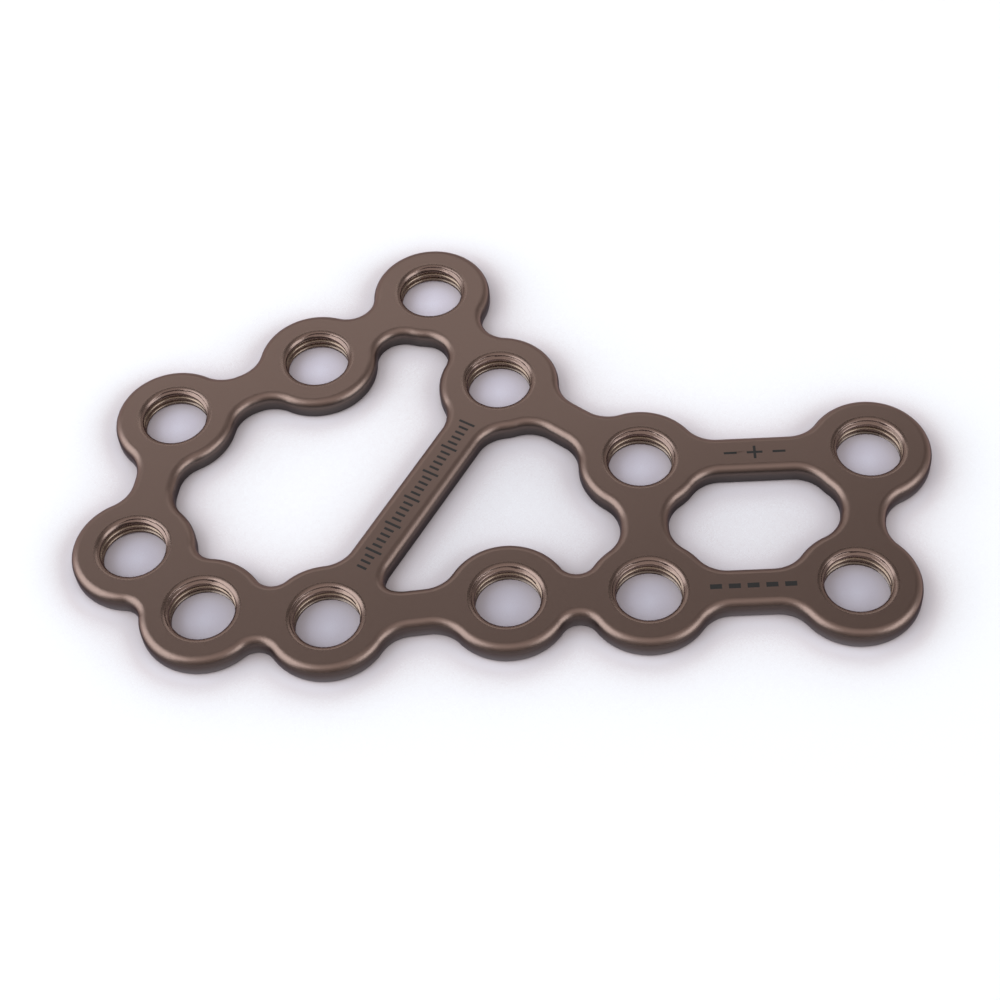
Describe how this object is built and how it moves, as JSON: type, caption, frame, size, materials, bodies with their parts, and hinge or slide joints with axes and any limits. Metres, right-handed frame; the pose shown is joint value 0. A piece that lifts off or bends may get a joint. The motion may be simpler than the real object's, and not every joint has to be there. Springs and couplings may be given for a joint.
{
  "type": "bone plate",
  "caption": "Flat titanium locking plate for the heel bone: rings with threaded screw holes, joined by slim webs around open windows.",
  "frame": {"origin": "middle of the plate's length and width, on its bone side", "axes": "+X along the straight rows, towards the front pair of holes; +Y towards the top ring; +Z out of the bone side, where the screws come in"},
  "size_m": [0.06, 0.0372, 0.0015],
  "materials": {
    "titanium": "bead-blasted and anodised titanium, satin brown"
  },
  "bodies": {
    "root": {"bone_plate": "titanium"}
  },
  "joints": []
}
